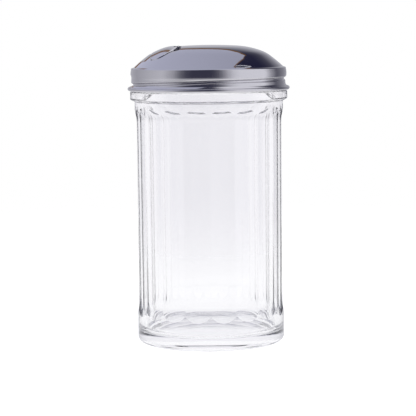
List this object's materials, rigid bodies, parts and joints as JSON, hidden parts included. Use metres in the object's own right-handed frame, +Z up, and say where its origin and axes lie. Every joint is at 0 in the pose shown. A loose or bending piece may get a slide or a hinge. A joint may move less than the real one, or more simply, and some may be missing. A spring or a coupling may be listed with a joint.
{
  "type": "sugar dispenser",
  "caption": "Tall clear fluted jar with a domed stainless steel screw lid and a gravity-operated hinged pouring flap.",
  "frame": {"origin": "centre of the jar's foot, on the table", "axes": "+Z up along the jar's axis; the flap pours towards -X and its hinge pin lies along Y"},
  "size_m": [0.0804, 0.0804, 0.1478],
  "materials": {
    "clear_jar": "clear water-white moulding, glossy",
    "polished_steel": "polished drawn stainless steel, faint drawing lines on the skirt",
    "flap_steel": "polished pressed stainless steel",
    "pin_steel": "plain steel wire"
  },
  "bodies": {
    "jar": {"jar": "clear_jar"},
    "lid": {"lid_shell": "polished_steel", "hinge_pin": "pin_steel"},
    "flap": {"flap": "flap_steel"}
  },
  "joints": [
    {"name": "lid_lift", "type": "slide", "parent": "jar", "child": "lid", "axis": [0, 0, 1], "range_m": [0, 0.09]},
    {"name": "flap_swing", "type": "hinge", "parent": "lid", "child": "flap", "pos_m": [-0.0152, 0, 0.14594], "axis": [0, 1, 0], "range_deg": [0, 75]}
  ]
}
